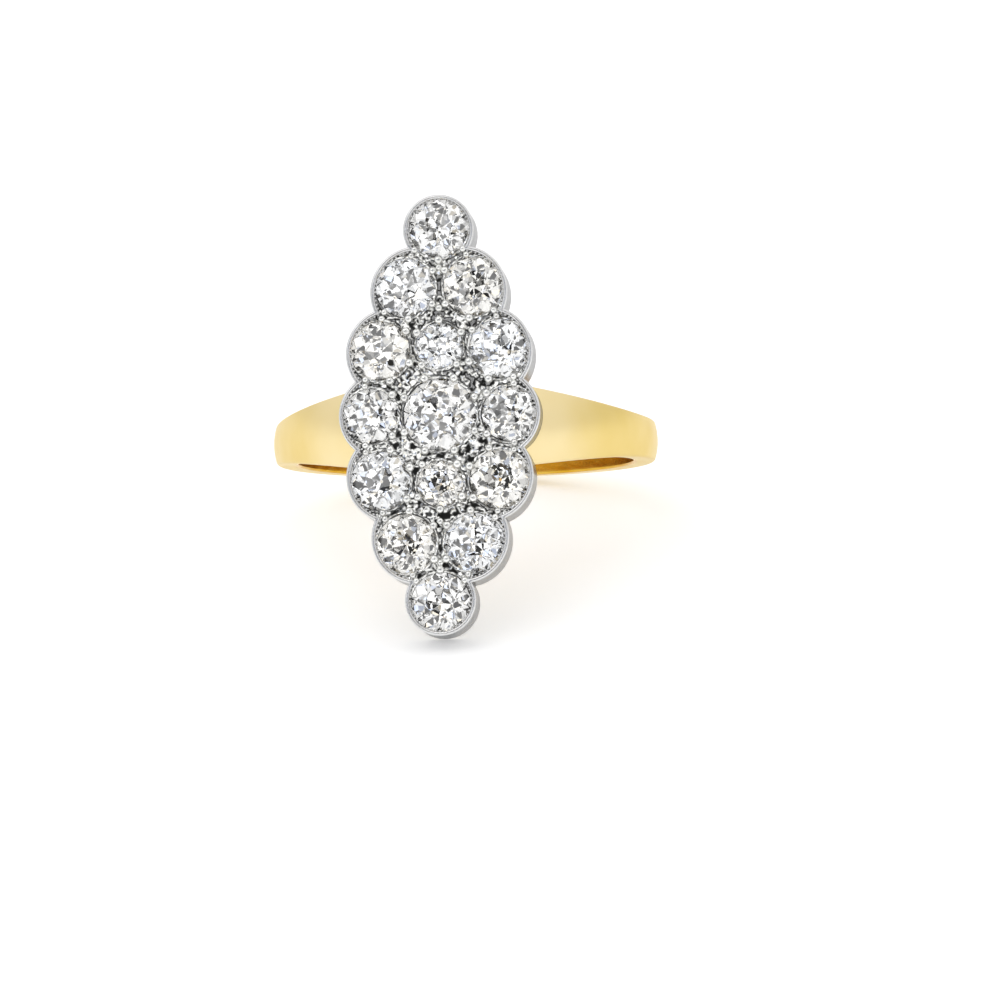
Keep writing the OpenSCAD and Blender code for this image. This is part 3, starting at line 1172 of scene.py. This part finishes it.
@dataclass
class SeatThreads:
    """An uneven thread of metal round each stone, pushed over the edge of its seat.

    Its section is a low roof: outer foot, outer slope, crest, an inner lip that just covers the
    edge of the stone, and two points in the plate. The shares and the rises place these six
    points, the crest marks those that move sideways, and the lip marks the one that draws back.
    """

    ring: RingFrame
    cluster: Cluster
    steps: int = 84
    start: float = -0.01 * MM
    width: float = 0.17 * MM
    height: float = 0.10 * MM
    shares: tuple = (1.0, 0.72, 0.42, 0.0, 0.45, 1.0)
    rises: tuple = (0.0, 0.55, 1.0, 0.6, -1.0, -1.0)
    crest: tuple = (0, 1, 1, 0, 0, 0)
    lip: tuple = (0, 0, 0, 1, 0, 0)
    shift: float = 0.25
    least: float = 0.35
    lip_gap: float = 0.07 * MM
    lip_sink: float = 0.5
    lip_bend: float = 1.5
    seed: int = 11

    def build(self) -> bpy.types.Object:
        """Carries the section round each stone.

        A point goes to the stone's radius plus its reach, and to its height over the plate. At
        each step round the stone, at random, a raised point keeps from its least share to all
        of its height, and the crest's points move sideways by up to half their shift, in
        widths. On one side of each stone, at random, the lip draws back and sinks, so that the
        seat shows as a dark arc of painted shade, as the sunk points are marked lowest: by the
        share b cos(a - a0) - (b - 1), kept within 0 and 1, where b is the lip's bend.

        Returns:
            All the threads as one piece.
        """
        draw = np.random.default_rng(self.seed)
        places, radii = self.cluster.places, self.cluster.radii
        shape = (len(radii), self.steps, len(self.shares))
        moves = centred(draw, shape) * self.shift * np.array(self.crest)
        uneven = self.least + (1 - self.least) * draw.random(shape)
        angle = np.arange(self.steps) * math.tau / self.steps
        facing = draw.random(len(radii)) * math.tau
        bent = self.lip_bend * np.cos(angle - facing[:, None]) - (self.lip_bend - 1)
        drawn = np.clip(bent, 0, 1)[..., None] * np.array(self.lip)
        reach = self.start + self.width * (np.array(self.shares) + moves) + self.lip_gap * drawn
        rises = np.array(self.rises) - self.lip_sink * drawn
        over = np.where(rises > 0, self.height * rises * uneven, FIELD_ROOT * rises)
        z = FIELD_LEVEL + over
        rho = radii[:, None, None] + reach
        x = places[:, 0, None, None] + rho * np.cos(angle)[:, None]
        y = places[:, 1, None, None] + rho * np.sin(angle)[:, None]
        faces = repeated(grid_faces(*shape[1:]), shape[0], shape[1] * shape[2])
        piece = new_piece("seat_threads", self.ring.on_head(x, y, z), faces)
        # the feet and the sunk lip are marked lowest, and the cut metal paints them with shade
        keep_depth(piece, 1 - np.clip((z - FIELD_LEVEL) / self.height, 0, 1))
        return piece


@dataclass
class ToolCuts:
    """The small uneven facets that cover the metal between the threads."""

    ring: RingFrame
    cluster: Cluster
    scallops: Scallops
    pitch: float = 0.125 * MM
    height: float = 0.10 * MM
    shift: float = 0.6
    stone_clear: float = 0.085 * MM
    rim_clear: float = 0.15 * MM
    pits: int = 70
    pit_reach: float = 0.15 * MM
    seed: int = 12

    def net(self, draw: np.random.Generator) -> np.ndarray:
        """Corners of a net of triangles over the whole head, each moved sideways at random.

        Before that move, corner i of row j lies at i - n + (j - n / 2) / 2 across and
        (j - n / 2) h along, in pitches, where n is the number of rows and h is the height of
        an even triangle.

        Args:
            draw: The source of random numbers.

        Returns:
            Points across and along, by i and j.
        """
        half_length = np.abs(self.cluster.places[:, 1]).max() + self.cluster.radii.max()
        rows = round(2 * half_length / (self.pitch * TRIANGLE_RISE))
        i, j = np.meshgrid(np.arange(2 * rows), np.arange(rows), indexing="ij")
        row = j - rows / 2
        net = np.stack([i - rows + row / 2, row * TRIANGLE_RISE], axis=-1)
        return (net + centred(draw, net.shape) * self.shift) * self.pitch

    def build(self) -> bpy.types.Object:
        """Raises the corners of the net at random, and keeps it clear of the stones and the rim.

        The corners within reach of some chosen at random stay low, as pits. A flat copy below
        and a wall along the open edges close the piece.

        Returns:
            The facets as one piece.
        """
        draw = np.random.default_rng(self.seed)
        net = self.net(draw)
        rise = draw.random(net.shape[:2]).ravel()
        kept = self.cluster.edge_distance(net) > self.stone_clear
        kept &= self.scallops.inside(net, self.rim_clear)
        faces = net_triangles(*kept.shape)
        faces = without_pinches(faces[kept.ravel()[faces].all(axis=1)], kept.size)
        used, faces = np.unique(faces, return_inverse=True)
        faces = faces.reshape(-1, 3)
        net, rise = net.reshape(-1, 2)[used], rise[used]
        pits = net[draw.choice(len(net), self.pits, replace=False)]
        away = np.linalg.norm(net[:, None] - pits, axis=2).min(axis=1)
        # the pits stay at the plate's level and so take the darkest painted shade
        rise = np.where(away < self.pit_reach, 0.0, rise)
        top = self.ring.on_head(net[:, 0], net[:, 1], FIELD_LEVEL + rise * self.height)
        flat = np.full(len(used), FIELD_LEVEL - FIELD_ROOT)
        bottom = self.ring.on_head(net[:, 0], net[:, 1], flat)
        piece = new_piece("tool_cuts", np.vstack([top, bottom]), closed_below(faces, len(used)))
        # the low facets are marked lowest, and the cut metal paints them with shade
        keep_depth(piece, np.concatenate([1 - rise, np.ones(len(used))]))
        return piece


@dataclass
class RubbedGrains:
    """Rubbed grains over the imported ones, and small ones between them.

    Three stand where three stones meet, two in each notch, and a small one in the middle of each
    junction.
    """

    ring: RingFrame
    cluster: Cluster
    grain: float = 0.19 * MM
    notch_grain: float = 0.15 * MM
    out: float = 0.12 * MM
    clear: float = 0.02 * MM
    skin: float = 0.018 * MM
    notch_turn: float = 18.5
    middle_grain: float = 0.16 * MM
    middle_least: float = 0.05 * MM
    middle_fill: float = 0.9
    middle_rise: float = 0.6
    spread: float = 0.35
    seed: int = 13

    def build(self) -> bpy.types.Object:
        """Sets the grains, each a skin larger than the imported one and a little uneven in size.

        Returns:
            All the grains as one piece.
        """
        cluster = self.cluster
        trios = cluster.trios()
        junctions = cluster.junctions(trios)
        inner = self.at_edge(trios.ravel(), np.repeat(junctions, 3, axis=0), self.grain, 0.0)
        count = len(cluster.outer)
        here = cluster.stones.index(cluster.outer[0]) + np.arange(count)
        after = np.roll(here, -1)
        lead = self.at_edge(here, cluster.places[after], self.notch_grain, self.notch_turn)
        trail = self.at_edge(after, cluster.places[here], self.notch_grain, -self.notch_turn)
        room = cluster.edge_distance(junctions) - self.out - self.grain
        size = np.clip(room * self.middle_fill, self.middle_least, self.middle_grain)
        middle = np.column_stack([junctions, FIELD_LEVEL + size * self.middle_rise])
        places = np.vstack([inner, lead, trail, middle])
        sizes = [self.grain] * len(inner) + [self.notch_grain] * 2 * count + size.tolist()
        draw = np.random.default_rng(self.seed)
        uneven = 1 + draw.random(len(sizes)) * self.spread / 2
        return beads("rubbed_grains", self.ring, places, np.array(sizes) * uneven + self.skin)

    def at_edge(
        self, stones: np.ndarray, toward: np.ndarray, radius: float, turn: float
    ) -> np.ndarray:
        """Middles of grains at the edges of stones, just clear of their crowns.

        Args:
            stones: Stone numbers.
            toward: A point across and along for each, which gives the grain's direction.
            radius: Radius of the grains.
            turn: Angle in degrees by which that direction is turned.

        Returns:
            Middles across, along and outward, one row each.
        """
        step = toward - self.cluster.places[stones]
        angle = np.arctan2(step[:, 1], step[:, 0]) + math.radians(turn)
        reach = self.cluster.radii[stones] + self.out
        rise = math.sqrt((radius + self.clear) ** 2 - self.out**2)
        x = self.cluster.places[stones, 0] + reach * np.cos(angle)
        y = self.cluster.places[stones, 1] + reach * np.sin(angle)
        return np.stack([x, y, np.full(len(stones), self.cluster.girdle + rise)], axis=1)


@dataclass
class Head:
    """The white metal head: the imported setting, its rim and the cut metal between the stones."""

    ring: RingFrame
    cluster: Cluster
    scallops: Scallops
    # painted light: the rim and the wall are one metal in two tones, and the rim's lighter tones
    # make it look more lit
    painted_lit_rim_light: tuple = (0.80, 0.80, 0.80)
    painted_lit_rim_dark: tuple = (0.68, 0.68, 0.68)
    cut_finish: CutPlatinum = CutPlatinum()

    def build(self) -> None:
        """Finishes the setting, and makes and finishes the added pieces."""
        ring, cluster, scallops = self.ring, self.cluster, self.scallops
        base = float(ring.centre @ ring.outward)
        wall = BrightPlatinum(
            axes=tuple(tuple(axis) for axis in (ring.across, ring.along, ring.outward)),
            rear=base + HEAD_REAR,
            girdle=base + cluster.girdle,
        )
        # the rim's finish is the wall's with lighter tones, painted light; the lip and its beads
        # take it
        edge = replace(wall, name="rim_platinum_painted_lighter", light=self.painted_lit_rim_light, dark=self.painted_lit_rim_dark)
        bright, cut = edge.material(), self.cut_finish.material()
        dress(frame["nodes"]["setting"], wall.material())
        rim = Rim(ring, scallops)
        self.add(rim.rolled_lip(), bright)
        self.add(rim.beading(), bright)
        self.add(SeatThreads(ring, cluster).build(), cut)
        self.add(ToolCuts(ring, cluster, scallops).build(), cut)
        self.add(RubbedGrains(ring, cluster).build(), cut)

    @staticmethod
    def add(piece: bpy.types.Object, material: bpy.types.Material) -> None:
        """Finishes a piece and lets it ride on the ring.

        Args:
            piece: One of the head's added pieces.
            material: Its finish.
        """
        dress(piece, material)
        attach(piece, BODY)
        LOG.info("%s: %d faces", piece.name, len(piece.data.polygons))


@dataclass(frozen=True)
class Fields:
    """Bright and dark fields of the surroundings: a least light and steps up from it.

    Each step is the number in 0 to 1 above which a field gets it, and the light that it adds.
    """

    least: float
    steps: tuple
    soft: float = 0.05

    def light(self, pick: Socket) -> Value:
        """Works out the light of each field.

        Args:
            pick: The field's own number in 0 to 1, which picks its steps.

        Returns:
            The light.
        """
        level: Value = self.least
        for edge, rise in self.steps:
            level = level + pick.above(edge, self.soft) * rise
        return level


@dataclass(frozen=True)
class Surroundings:
    """Soft white surroundings, with dark gaps between the lamps in front of the head.

    The camera sees plain white. What the metal and the stones reflect is a white tent that is a
    little dimmer low down, and round the direction that the head faces a broken patch of bright
    and dark fields: mostly bright at its edge, mostly dark inside, and dark in the very middle.
    A few fields are faintly cool or warm. The wide, near and core cones each hold the cosine of
    their angle from that direction and the width of their edge, and the tent's height holds the
    middle and the width of its slow step in light.
    """

    head_direction: tuple
    strength: float = 0.98
    tent_least: float = 0.74
    tent_rise: float = 0.3
    tent_height: tuple = (0.1, 1.4)
    cell_scale: float = 8.0
    wide: tuple = (0.70, 0.12)
    near: tuple = (0.88, 0.03)
    core: tuple = (0.985, 0.006)
    edge_fields: Fields = Fields(0.05, ((0.34, 0.74), (0.62, 0.80)))
    inner_fields: Fields = Fields(0.03, ((0.53, 0.60), (0.72, 1.02)))
    core_light: float = 0.11
    cool: tuple = (0.72, 0.80, 1.0)
    cool_above: float = 0.78
    warm: tuple = (1.0, 0.93, 0.80)
    warm_below: float = 0.16
    tint_soft: float = 0.02

    def build(self) -> bpy.types.World:
        """Makes the surroundings as a world.

        Returns:
            The world, with the surroundings' nodes in it.
        """
        world = bpy.data.worlds.new("studio")
        world.use_nodes = True
        graph = Graph(world.node_tree)
        ray = graph.place("Generated")
        facing = graph.number("DOT_PRODUCT", ray, self.head_direction)
        height = graph.part(ray, "Z")
        tent = self.tent_least + height.above(*self.tent_height) * self.tent_rise
        cells = graph.cells(ray, self.cell_scale)
        pick, tone = graph.part(cells, "X"), graph.part(cells, "Y")
        edge, inner = self.edge_fields.light(pick), self.inner_fields.light(pick)
        wide, near, core = (facing.above(*cone) for cone in (self.wide, self.near, self.core))
        fields = edge * (1.0 - near) + inner * near * (1.0 - core) + self.core_light * core
        light = tent * (1.0 - wide) + fields * wide
        seen = graph.node("ShaderNodeLightPath", {}, {}, "Is Camera Ray")
        hidden = 1.0 - seen
        cooled = tone.above(self.cool_above, self.tint_soft) * wide * hidden
        warmed = tone.below(self.warm_below, self.tint_soft) * wide * hidden
        colour = graph.mix(warmed, graph.mix(cooled, WHITE, self.cool), self.warm)
        level = light * hidden * self.strength + seen
        inputs = {"Color": colour, "Strength": level}
        shader = graph.node("ShaderNodeBackground", {}, inputs)
        graph.node("ShaderNodeOutputWorld", {}, {"Surface": shader})
        return world


@dataclass
class Studio:
    """Pale floor, soft light all round, and the camera at the photograph's angle."""

    ring: RingFrame
    azimuth: float = 6.5
    elevation: float = 21.3
    roll: float = -3.5
    distance: float = 0.30
    millimetre_per_pixel: float = 0.0490
    head_pixel: tuple = (439.8, 414.7)
    frame_pixels: int = 1000
    sensor: float = 36.0
    floor_size: float = 1.6
    sun_strength: float = 0.22
    sun_softness: float = 38.0
    sun_tilt: tuple = (24.0, -22.0, 0.0)
    clip: tuple = (0.01, 10.0)

    def floor(self) -> None:
        """Lays the floor under the ring."""
        half = self.floor_size / 2
        points = np.array([[-half, -half, 0], [half, -half, 0], [half, half, 0], [-half, half, 0]])
        piece = new_piece("floor", points, [[0, 1, 2, 3]])
        dress(piece, PaleFloor().material())

    def world(self) -> None:
        """Puts the surroundings round the ring."""
        bpy.context.scene.world = Surroundings(tuple(self.ring.outward)).build()

    def lamps(self) -> None:
        """One broad soft lamp from above, a little to the left."""
        data = bpy.data.lights.new("soft_key", "SUN")
        data.energy = self.sun_strength
        data.angle = math.radians(self.sun_softness)
        lamp = bpy.data.objects.new("soft_key", data)
        lamp.rotation_euler = [math.radians(turn) for turn in self.sun_tilt]
        bpy.context.scene.collection.objects.link(lamp)

    def camera(self) -> None:
        """Aims the camera so that the middle of the head falls on its pixel."""
        turn, rise, roll = (math.radians(v) for v in (self.azimuth, self.elevation, self.roll))
        level = math.cos(rise)
        back = Vector((math.sin(turn) * level, -math.cos(turn) * level, math.sin(rise)))
        flat_right = Vector((math.cos(turn), math.sin(turn), 0.0))
        flat_up = back.cross(flat_right)
        right = flat_right * math.cos(roll) + flat_up * math.sin(roll)
        up = back.cross(right)
        middle = Vector(self.ring.on_head(0.0, 0.0, FIELD_LEVEL))
        step = self.millimetre_per_pixel * MM
        half = self.frame_pixels / 2
        target = middle + right * (half - self.head_pixel[0]) * step
        target -= up * (half - self.head_pixel[1]) * step
        data = bpy.data.cameras.new("camera")
        data.sensor_width = self.sensor
        data.lens = self.sensor * self.distance / (step * self.frame_pixels)
        data.clip_start, data.clip_end = self.clip
        camera = bpy.data.objects.new("camera", data)
        turned = Matrix((right, up, back)).transposed().to_4x4()
        camera.matrix_world = Matrix.Translation(target + back * self.distance) @ turned
        bpy.context.scene.collection.objects.link(camera)
        bpy.context.scene.camera = camera

    def build(self) -> None:
        """Makes the whole studio."""
        self.camera()
        self.floor()
        self.world()
        self.lamps()
        bpy.context.scene.view_settings.view_transform = "Standard"


def main() -> None:
    """Builds the ring's looks and the studio round it."""
    logging.basicConfig(level=logging.INFO, format="%(message)s")
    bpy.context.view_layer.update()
    ring = RingFrame.measured()
    cluster = Cluster(ring)
    scallops = Scallops(cluster)
    cluster.dress()
    shank = Shank(ring, scallops)
    shank.dress(shank.build())
    Head(ring, cluster, scallops).build()
    Studio(ring).build()


if __name__ == "__main__":
    main()
